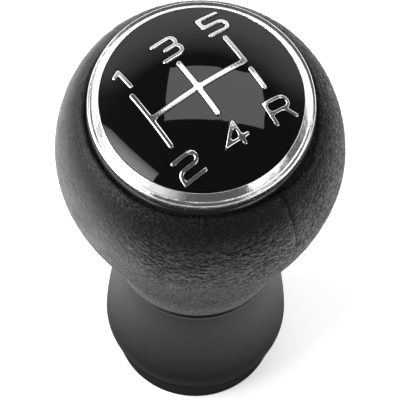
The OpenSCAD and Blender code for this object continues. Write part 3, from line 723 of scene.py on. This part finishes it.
def leather_half(name, node, start):
    """One panel of the cover: a closed skin over half a turn from the seam at start."""
    outer, rest = leather_paths()
    gap = SEAM_GAP / BALL_R
    angles = np.linspace(start + gap, start + math.pi - gap, LEATHER_COLUMNS)
    from_seam = np.minimum(angles - start, start + math.pi - angles)
    lift = leather_height(outer, angles, from_seam)
    normal = path_normals(outer)
    r = outer[None, :, 0] + lift * normal[None, :, 0]
    z = outer[None, :, 1] + lift * normal[None, :, 1]
    r = np.hstack([r, np.tile(rest[:, 0], (len(angles), 1))])
    z = np.hstack([z, np.tile(rest[:, 1], (len(angles), 1))])
    verts = np.stack([r * np.cos(angles)[:, None], r * np.sin(angles)[:, None], z], -1)
    # Rows of four-sided faces round the section, and one flat face at each seam
    count = r.shape[1]
    k = np.arange(count)
    k2 = np.roll(k, -1)
    i = np.arange(len(angles) - 1)[:, None] * count
    faces = np.stack([i + k, i + k2, i + count + k2, i + count + k], -1).reshape(-1, 4)
    last = (len(angles) - 1) * count
    ends = [tuple(range(count))[::-1], tuple(last + j for j in range(count))]
    obj = new_object(name, verts.reshape(-1, 3), faces.tolist() + ends)
    for end in obj.data.polygons[-2:]:
        end.use_smooth = False
    finish_piece(obj, node, "leather")


def make_leather():
    """Both panels, which meet at the front seam and at the rear one."""
    start = SEAM_TURN - math.pi / 2
    leather_half("leather_right", "cover_panel_right", start)
    leather_half("leather_left", "cover_panel_left", start + math.pi)


# Chrome bezel and black lip

BEZEL_STEPS = 288
BEZEL_ROUND = 0.07 * MM
BEZEL_EDGE = math.radians(40)
# The inner slope's narrow chamfer, and the rim's crest with the corner outside it
CHAMFER_W = 0.17 * MM
CHAMFER_H = 0.10 * MM
CREST_IN = 0.08 * MM
CREST_UP = 0.04 * MM
CORNER_DOWN = 0.05 * MM
SKIRT_TOP = BEZEL_Z - 0.4 * MM
TAB_STEPS = 24
TAB_BEAD = 0.15 * MM
LIP_STEPS = 256
LIP_ROUND = 0.12 * MM
EDGE_H = 0.75 * MM
# How closely the lip's edge fits its neighbours, and how far it laps over the carrier
LIP_FIT = 0.02 * MM
LIP_LAP = 0.10 * MM
LIP_DEPTH = 0.30 * MM
# The share of a side that one rounded corner may take
CORNER_SHARE = 0.45


def partial_turn(section, start, end, steps):
    """Points and faces of a section swept over part of a turn, with both ends closed."""
    n = len(section)
    verts = []
    for i in range(steps + 1):
        a = start + (end - start) * i / steps
        verts += [(r * math.cos(a), r * math.sin(a), z) for r, z in section]
    faces = [tuple(range(n))[::-1], tuple(steps * n + k for k in range(n))]
    for i in range(steps):
        for k in range(n):
            m = (k + 1) % n
            faces.append((i * n + k, i * n + m, (i + 1) * n + m, (i + 1) * n + k))
    return verts, faces


def rounded(points, radius, steps):
    """A closed section with each corner rounded by a curve that starts radius away."""
    p = np.array(points, float)
    out = []
    for i in range(len(p)):
        a, b, c = p[i - 1], p[i], p[(i + 1) % len(p)]
        u = (a - b) / np.linalg.norm(a - b)
        v = (c - b) / np.linalg.norm(c - b)
        shorter = min(np.linalg.norm(a - b), np.linalg.norm(c - b))
        cut = min(radius, CORNER_SHARE * shorter)
        start = b + cut * u
        end = b + cut * v
        for t in np.linspace(0, 1, steps + 1):
            out.append((1 - t) ** 2 * start + 2 * (1 - t) * t * b + t * t * end)
        # A point just past the corner keeps the flat beside it flat
        out.append(b + min(1.15 * cut, 0.48 * np.linalg.norm(c - b)) * v)
    return np.array(out)


def bezel_section():
    """The bezel's section: inner slope, the groove beside it, thin outer rim and base."""
    floor_z = BEZEL_Z + BEZEL_BASE
    return rounded([
        (BEZEL_IN_R, floor_z),
        (BEZEL_IN_R, RIM_Z - CHAMFER_H),
        (BEZEL_IN_R + CHAMFER_W, RIM_Z),
        (BEZEL_IN_R + SLOPE_W, RIM_Z - SLOPE_H),
        (BEZEL_OUT_R - RIM_W - GROOVE_W, RIM_Z - RIM_DROP - GROOVE_H),
        (BEZEL_OUT_R - CREST_IN, RIM_Z - RIM_DROP + CREST_UP),
        (BEZEL_OUT_R, RIM_Z - RIM_DROP - CORNER_DOWN),
        (BEZEL_OUT_R, BEZEL_Z),
        (SKIRT_R, BEZEL_Z),
        (SKIRT_R, SKIRT_TOP),
        (SKIRT_R - SKIRT_WALL, SKIRT_TOP),
        (SKIRT_R - SKIRT_WALL, floor_z),
    ], BEZEL_ROUND, 5)


def tab_section():
    """The section of a tab of the skirt, with its bead and its slanted end."""
    low = BEZEL_Z - BEZEL_SKIRT
    return [
        (SKIRT_R, SKIRT_TOP),
        (SKIRT_R, low + 1.3 * MM),
        (SKIRT_R + TAB_BEAD, low + 1.0 * MM),
        (SKIRT_R + TAB_BEAD, low + 0.8 * MM),
        (SKIRT_R, low + 0.4 * MM),
        (SKIRT_R - 0.1 * MM, low),
        (SKIRT_R - SKIRT_WALL, low),
        (SKIRT_R - SKIRT_WALL, SKIRT_TOP),
    ]


def make_bezel():
    """The bezel in one mesh: its full ring and the tabs of its skirt."""
    verts, faces = revolved(bezel_section(), BEZEL_STEPS)
    half_slot = math.asin(TAB_SLOT / 2 / SKIRT_R)
    step = 2 * math.pi / TAB_COUNT
    for i in range(TAB_COUNT):
        more, skin = partial_turn(tab_section(), step * i + half_slot,
                                  step * (i + 1) - half_slot, TAB_STEPS)
        faces += [tuple(len(verts) + k for k in f) for f in skin]
        verts += more
    ring = new_object("bezel_chrome", verts, faces)
    ring.data.set_sharp_from_angle(angle=BEZEL_EDGE)
    finish_piece(ring, "trim_ring", "chrome_bezel")


def make_lip_edge():
    """The glossy rounded edge of the carrier's lip, fitted over the carrier."""
    section = rounded([
        (BEZEL_OUT_R - LIP_LAP, BEZEL_Z - LIP_DEPTH),
        (BEZEL_OUT_R - LIP_LAP, BEZEL_Z - LIP_FIT),
        (BEZEL_OUT_R + LIP_LAP, BEZEL_Z - LIP_FIT),
        (LIP_R + LIP_FIT, LIP_Z + EDGE_H),
        (LIP_R + LIP_FIT, LIP_Z - LIP_LAP),
        (LIP_R - LIP_DEPTH, LIP_Z - LIP_LAP),
    ], LIP_ROUND, 6)
    edge = new_object("carrier_lip_edge", *revolved(section, LIP_STEPS))
    finish_piece(edge, None, "carrier_black")


# Chrome inlays

# Chrome that runs past the photo's strokes is trimmed off bars, figures and their holes
BAR_TRIM = 0.10 * MM
FIGURE_TRIM = 0.11 * MM
HOLE_TRIM = 0.2 * MM
INLAY_BEVEL = 0.20 * MM
TOP_INSET = 0.03 * MM
INLAY_FILLET = 0.42 * MM
FLAG_FILLET = 0.9 * MM
MIN_FILLET = 0.1 * MM
INLAY_STEP = 0.3 * MM
WELD = 0.001 * MM
# An outline's edge lies between a face that looks up more than this and one that does less
TOP_NORMAL = 0.7
WALL_NORMAL = 0.5
SAME_POINT = 0.04 * MM
STRAIGHT = math.radians(2.5)
SHARP = math.radians(125)
INLAY_EDGE = math.radians(50)
BARS = ("gate_lines", "reverse_bar")
FIGURES = ("numeral_1", "numeral_2", "numeral_3", "numeral_4", "numeral_5", "letter_r")


def top_loops(obj):
    """The closed outlines round an inlay's upper face, as lists of points."""
    bm = bmesh.new()
    bm.from_mesh(obj.data)
    bmesh.ops.remove_doubles(bm, verts=bm.verts, dist=WELD)
    bm.normal_update()
    links = {}
    for e in bm.edges:
        if len(e.link_faces) != 2:
            continue
        steep, level = sorted(f.normal.z for f in e.link_faces)
        if level > TOP_NORMAL and steep < WALL_NORMAL:
            a, b = e.verts
            links.setdefault(a.index, []).append(b.index)
            links.setdefault(b.index, []).append(a.index)
    bm.verts.ensure_lookup_table()
    loops = []
    left = set(links)
    while left:
        first = left.pop()
        chain = [first]
        here = first
        while True:
            ahead = [k for k in links[here] if k in left]
            if not ahead:
                break
            here = ahead[0]
            left.discard(here)
            chain.append(here)
        loops.append([bm.verts[k].co.to_2d() for k in chain])
    bm.free()
    return [loop for loop in loops if len(loop) > 3]


def plain_corners(loop):
    """A loop without points that nearly touch or that lie on a straight side."""
    kept = [loop[0]]
    for p in loop[1:]:
        if (p - kept[-1]).length > SAME_POINT:
            kept.append(p)
    if (kept[0] - kept[-1]).length < SAME_POINT:
        kept.pop()
    out = []
    for i, p in enumerate(kept):
        turn = (p - kept[i - 1]).angle(kept[(i + 1) % len(kept)] - p)
        if turn > STRAIGHT:
            out.append(p)
    return out


def filleted(loop, fillet):
    """A loop whose sharp corners between long sides are rounded off by a small curve."""
    out = []
    for i, p in enumerate(loop):
        a = loop[i - 1] - p
        b = loop[(i + 1) % len(loop)] - p
        cut = min(fillet, CORNER_SHARE * a.length, CORNER_SHARE * b.length)
        if a.angle(b) < SHARP and cut > MIN_FILLET:
            u = p + a.normalized() * cut
            v = p + b.normalized() * cut
            for t in (0.0, 0.2, 0.4, 0.6, 0.8, 1.0):
                out.append(u * (1 - t) ** 2 + p * (2 * t * (1 - t)) + v * t * t)
        else:
            out.append(p)
    return out


def divided(loop):
    """A loop with its long sides divided into short steps."""
    out = []
    for i, p in enumerate(loop):
        q = loop[(i + 1) % len(loop)]
        steps = max(1, math.ceil((q - p).length / INLAY_STEP))
        out += [p.lerp(q, k / steps) for k in range(steps)]
    return out


def loop_area(loop):
    """The signed area inside a flat loop, positive when it runs to the left."""
    return sum(p.cross(q) for p, q in zip(loop, loop[1:] + loop[:1])) / 2


def inset(loop, distance):
    """A loop moved to its left, which is inward for an outline that runs to the left."""
    out = []
    for i, p in enumerate(loop):
        a = (p - loop[i - 1]).normalized()
        b = (loop[(i + 1) % len(loop)] - p).normalized()
        m = a + b
        side = Vector((-m.y, m.x))
        out.append(p + side * (2 * distance / max(m.length_squared, 1.2)))
    return out


def on_dome(point, lift):
    """A flat point raised to the dome's surface and by a lift."""
    return (point.x, point.y, DOME_C + math.sqrt(DOME_R ** 2 - point.length_squared) + lift)


def inside_loops(point, loops):
    """Whether a flat point lies inside an odd number of loops."""
    odd = False
    for loop in loops:
        for p, q in zip(loop, loop[1:] + loop[:1]):
            if (p.y > point.y) != (q.y > point.y):
                if point.x < p.x + (point.y - p.y) * (q.x - p.x) / (q.y - p.y):
                    odd = not odd
    return odd


def fill_between(loops, known, lift, verts):
    """Triangles that fill flat loops; known are their points' places in verts, which may grow."""
    points = [p for loop in loops for p in loop]
    edges = []
    start = 0
    for loop in loops:
        edges += [(start + k, start + (k + 1) % len(loop)) for k in range(len(loop))]
        start += len(loop)
    made_points, _, made_faces, sources, _, _ = delaunay_2d_cdt(points, edges, [], 0, 1e-9)
    places = []
    for point, group in zip(made_points, sources):
        if group:
            places.append(known[group[0]])
        else:
            places.append(len(verts))
            verts.append(on_dome(point, lift))
    triangles = []
    for face in made_faces:
        centre = sum((made_points[k] for k in face), Vector((0, 0))) / 3
        if inside_loops(centre, loops):
            triangles.append(tuple(places[k] for k in face))
    return triangles


def inlay_loops(node):
    """An inlay's outlines, run so that inset() goes into the chrome, and how far to trim each."""
    fillet = FLAG_FILLET if node == "numeral_1" else INLAY_FILLET
    loops = [divided(filleted(plain_corners(loop), fillet)) for loop in top_loops(nodes[node])]
    trims = []
    for k, loop in enumerate(loops):
        hole = inside_loops(loop[0], loops[:k] + loops[k + 1:])
        if (loop_area(loop) > 0) == hole:
            loop.reverse()
        if node in BARS:
            trims.append(BAR_TRIM)
        else:
            trims.append(HOLE_TRIM if hole else FIGURE_TRIM)
    return loops, trims


def inlay_rings():
    """Inset and height of each ring from the bottom up: wall, rounded bevel and the top's edge."""
    rings = [(0.0, -INLAY_SINK), (0.0, INLAY_RISE - INLAY_BEVEL)]
    for a in (30, 60, 90):
        t = math.radians(a)
        rings.append((INLAY_BEVEL * (1 - math.cos(t)),
                      INLAY_RISE - INLAY_BEVEL * (1 - math.sin(t))))
    rings.append((INLAY_BEVEL + TOP_INSET, INLAY_RISE))
    return rings


def chrome_inlay(node):
    """A bevelled inlay on the dome, drawn from the outline of its CAD node."""
    loops, trims = inlay_loops(node)
    rings = inlay_rings()
    verts = []
    faces = []
    starts = []
    flat = [[] for _ in rings]
    for loop, trim in zip(loops, trims):
        start = len(verts)
        starts.append(start)
        n = len(loop)
        for k, (depth, lift) in enumerate(rings):
            moved = inset(loop, trim + depth)
            flat[k].append(moved)
            verts += [on_dome(p, lift) for p in moved]
        for k in range(len(rings) - 1):
            for i in range(n):
                j = (i + 1) % n
                low = start + k * n
                faces.append((low + i, low + j, low + n + j, low + n + i))
    # Flat top and bottom
    for ring in (len(rings) - 1, 0):
        known = [start + ring * len(loop) + i
                 for start, loop in zip(starts, loops) for i in range(len(loop))]
        fill = fill_between(flat[ring], known, rings[ring][1], verts)
        faces += [t if ring else t[::-1] for t in fill]
    obj = new_object("inlay_" + node, verts, faces)
    obj.data.set_sharp_from_angle(angle=INLAY_EDGE)
    finish_piece(obj, node, "chrome_inlay")


def make_inlays():
    """All the chrome of the shift pattern."""
    for node in BARS + FIGURES:
        chrome_inlay(node)


# Camera

# The camera's turn, height and lens are fitted to the photo's outlines
CAM_ELEVATION = math.radians(64.96)
CAM_ROLL = math.radians(1.78)
CAM_DISTANCE = 1.0
CAM_FOCAL_PX = 5702.0
CAM_SIDE = 0.25 * MM
CAM_HEIGHT = RIM_Z - 40.05 * MM
PHOTO_PX = 400
SENSOR_W = 36.0


def make_camera():
    """The photograph's camera: a long lens, well above the knob and turned to its left."""
    back = Vector((0, -math.cos(CAM_ELEVATION), math.sin(CAM_ELEVATION)))
    right = Vector((1, 0, 0))
    up = back.cross(right)
    right, up = (right * math.cos(CAM_ROLL) + up * math.sin(CAM_ROLL),
                 up * math.cos(CAM_ROLL) - right * math.sin(CAM_ROLL))
    turn = Matrix.Rotation(-CAM_TURN, 3, "Z")
    place = turn @ (Vector((CAM_SIDE, 0, CAM_HEIGHT)) + back * CAM_DISTANCE)
    axes = Matrix((turn @ right, turn @ up, turn @ back)).transposed()
    data = bpy.data.cameras.new("photo_camera")
    data.sensor_width = SENSOR_W
    data.lens = CAM_FOCAL_PX / PHOTO_PX * SENSOR_W
    data.clip_start = 0.05
    data.clip_end = 20.0
    cam = bpy.data.objects.new("photo_camera", data)
    cam.matrix_world = Matrix.Translation(place) @ axes.to_4x4()
    bpy.context.scene.collection.objects.link(cam)
    bpy.context.scene.camera = cam


def from_photo(x, y, z):
    """A point given as right, away from the camera and up, turned into the frame."""
    return Matrix.Rotation(-CAM_TURN, 3, "Z") @ Vector((x, y, z))


# Softboxes

def area_light(name, place, aim, width, height, radiance, upward=(0, 0, 1)):
    """A rectangular softbox of an even radiance that faces a point."""
    data = bpy.data.lights.new(name, "AREA")
    data.shape = "RECTANGLE"
    data.size = width
    data.size_y = height
    data.energy = radiance * math.pi * width * height
    obj = bpy.data.objects.new(name, data)
    forward = (aim - place).normalized()
    side = forward.cross(Vector(upward)).normalized()
    axes = Matrix((side, side.cross(forward), -forward)).transposed()
    obj.matrix_world = Matrix.Translation(place) @ axes.to_4x4()
    bpy.context.scene.collection.objects.link(obj)
    return obj


def graded(light, stops, strength):
    """Lets a softbox's brightness change from its foot to its top."""
    light.use_nodes = True
    n, l = light.node_tree.nodes, light.node_tree.links
    split = n.new("ShaderNodeSeparateXYZ")
    l.new(n.new("ShaderNodeNewGeometry").outputs["Parametric"], split.inputs[0])
    l.new(grey_ramp(n, l, split.outputs["Y"], stops), n["Emission"].inputs["Color"])
    n["Emission"].inputs["Strength"].default_value = strength


# Places are given as right and away from the camera, the first box's as shares of its height
DOME_POINT = Vector((0, 0, APEX_Z))
OVERHEAD_HIGH = 0.70
OVERHEAD_PLACE = (0.165, 0.49)
OVERHEAD_SIZE = (1.05, 0.72)
OVERHEAD_RADIANCE = 2.3
LEFT_FAR_END = (-0.85, 0.31)
LEFT_NEAR_END = (-0.229, -0.226)
LEFT_FOOT = APEX_Z - 0.01
LEFT_TOP = APEX_Z + 0.50
LEFT_GRADES = [(0.0, 0.55), (0.5, 0.75), (0.7, 1.0), (0.85, 0.62), (1.0, 0.2)]
LEFT_RADIANCE = 7.8
RIGHT_PLACE = (0.68, -0.42)
RIGHT_HIGH = 0.30
RIGHT_SIZE = (0.54, 0.56)
RIGHT_RADIANCE = 1.8


def make_overhead_box():
    """The softbox overhead, mirrored in the middle of the dome."""
    right, away = [OVERHEAD_HIGH * share for share in OVERHEAD_PLACE]
    width, depth = [OVERHEAD_HIGH * share for share in OVERHEAD_SIZE]
    centre = from_photo(right, away, 0) + DOME_POINT + Vector((0, 0, OVERHEAD_HIGH))
    area_light("overhead_box", centre, centre - Vector((0, 0, 1)), width, depth,
               OVERHEAD_RADIANCE, from_photo(0, 1, 0))


def make_left_box():
    """The tall softbox at the left front, mirrored as the dome's bright wedge."""
    far_end = from_photo(*LEFT_FAR_END, 0)
    near_end = from_photo(*LEFT_NEAR_END, 0)
    middle = (far_end + near_end) / 2
    normal = Vector((0, 0, 1)).cross(far_end - near_end).normalized()
    if normal.dot(middle) > 0:
        normal = -normal
    place = Vector((middle.x, middle.y, (LEFT_FOOT + LEFT_TOP) / 2))
    box = area_light("left_box", place, place + normal, (far_end - near_end).length,
                     LEFT_TOP - LEFT_FOOT, 1.0)
    graded(box.data, LEFT_GRADES, LEFT_RADIANCE)


def make_right_box():
    """The softbox at the right front, low enough to stay out of the dome."""
    place = from_photo(*RIGHT_PLACE, APEX_Z + RIGHT_HIGH)
    area_light("right_box", place, DOME_POINT, *RIGHT_SIZE, RIGHT_RADIANCE)


# Surroundings and floor

def background(n, l, colour):
    """A background of a fixed or a linked colour."""
    node = n.new("ShaderNodeBackground")
    plug(l, colour, node.inputs["Color"])
    return node.outputs[0]


def mix_shader(n, l, factor, first, second):
    """The first shader where the factor is 0, the second where it is 1."""
    node = n.new("ShaderNodeMixShader")
    l.new(factor, node.inputs["Fac"])
    l.new(first, node.inputs[1])
    l.new(second, node.inputs[2])
    return node.outputs[0]


# What the world shows by a direction's parts away from the camera, to its left and upward
SWEEP_STOPS = [(0.0, 0.11), (0.42, 0.22), (0.62, 1.0)]
SWEEP_HEIGHTS = [(0.0, 1.0), (0.35, 1.0), (0.55, 0.55), (0.68, 0.0)]
CARD_STOPS = [(0.15, 0.0), (0.5, 1.0)]
CARD_HEIGHTS = [(0.0, 0.0), (0.03, 1.0), (0.32, 1.0), (0.45, 0.0)]
CEILING = (0.09, 0.09, 0.09, 1)
SOFT_LIGHT = (0.42, 0.42, 0.43, 1)
BLACK = (0, 0, 0, 1)
WHITE = (1, 1, 1, 1)


def mirrored_studio(n, l):
    """What glossy rays see: white sweep, dim sides and front, dark ceiling, pale card at left."""
    direction = n.new("ShaderNodeTexCoord").outputs["Generated"]
    z = height_of(n, l, direction)
    away = vector_math(n, l, "DOT_PRODUCT", direction, from_photo(0, 1, 0))
    sweep = grey_ramp(n, l, away, SWEEP_STOPS)
    studio = mix(n, l, grey_ramp(n, l, z, SWEEP_HEIGHTS), CEILING, sweep)
    # The low card widens the left softbox near the floor
    toward_left = vector_math(n, l, "DOT_PRODUCT", direction, LEFT)
    card = mix(n, l, grey_ramp(n, l, toward_left, CARD_STOPS), BLACK,
               grey_ramp(n, l, z, CARD_HEIGHTS))
    return mix(n, l, card, studio, WHITE)


def make_world():
    """White for the camera, the mirrored studio for glossy rays and soft light for the rest."""
    world = bpy.data.worlds.new("studio")
    bpy.context.scene.world = world
    world.use_nodes = True
    n, l = world.node_tree.nodes, world.node_tree.links
    n.clear()
    path = n.new("ShaderNodeLightPath")
    lit = mix_shader(n, l, path.outputs["Is Glossy Ray"], background(n, l, SOFT_LIGHT),
                     background(n, l, mirrored_studio(n, l)))
    seen = mix_shader(n, l, path.outputs["Is Camera Ray"], lit, background(n, l, WHITE))
    l.new(seen, n.new("ShaderNodeOutputWorld").inputs["Surface"])


FLOOR_CORNERS = [(-0.5, -0.09), (0.45, -0.09), (0.45, 1.2), (-0.5, 1.2)]
# Round this point the floor's colour and glow are darkened with painted shade, where the knob
# keeps the light off; the ramp runs over a tenth of a metre
PAINTED_SHADE_CENTRE = (0, -0.005, 0)
DIM_SCALE = 10.0
PAINTED_SHADE_STOPS = [(0.18, 0.04), (0.30, 0.34), (0.44, 1.0)]
FLOOR_TONE = (0.8, 0.8, 0.8, 1)
FLOOR_GLOW = 0.44
MIRRORED_GLOW = 0.68


def floor_material():
    """White and evenly lit for the camera; for all other rays, painted shade darkens it near the
    foot.
    """
    m, n, l, bsdf = material("floor_white")
    place = n.new("ShaderNodeTexCoord").outputs["Object"]
    distance = vector_math(n, l, "DISTANCE", place, from_photo(*PAINTED_SHADE_CENTRE))
    scaled = scalar_math(n, l, "MULTIPLY", distance, DIM_SCALE)
    # Painted shade: the floor's colour and glow darken towards the foot
    shade = grey_ramp(n, l, scaled, PAINTED_SHADE_STOPS)
    path = n.new("ShaderNodeLightPath")
    camera = path.outputs["Is Camera Ray"]
    mirrored = scalar_math(n, l, "MULTIPLY", path.outputs["Is Glossy Ray"], MIRRORED_GLOW)
    l.new(mix(n, l, camera, shade, FLOOR_TONE), bsdf.inputs["Base Color"])
    l.new(mix(n, l, camera, shade, WHITE), bsdf.inputs["Emission Color"])
    l.new(mix(n, l, camera, mirrored, FLOOR_GLOW, "FLOAT"), bsdf.inputs["Emission Strength"])
    bsdf.inputs["Roughness"].default_value = 0.9
    bsdf.inputs["Specular IOR Level"].default_value = 0.0
    return m


def make_floor():
    """The stage's floor, which reaches from just before the knob to far behind it."""
    verts = [from_photo(x, y, 0) for x, y in FLOOR_CORNERS]
    floor = new_object("studio_floor", verts, [(0, 1, 2, 3)], smooth=False)
    floor.data.materials.append(floor_material())


dress_cad_pieces()
make_leather()
make_bezel()
make_lip_edge()
make_inlays()
make_camera()
make_overhead_box()
make_left_box()
make_right_box()
make_world()
make_floor()

bpy.context.scene.view_settings.view_transform = "Standard"
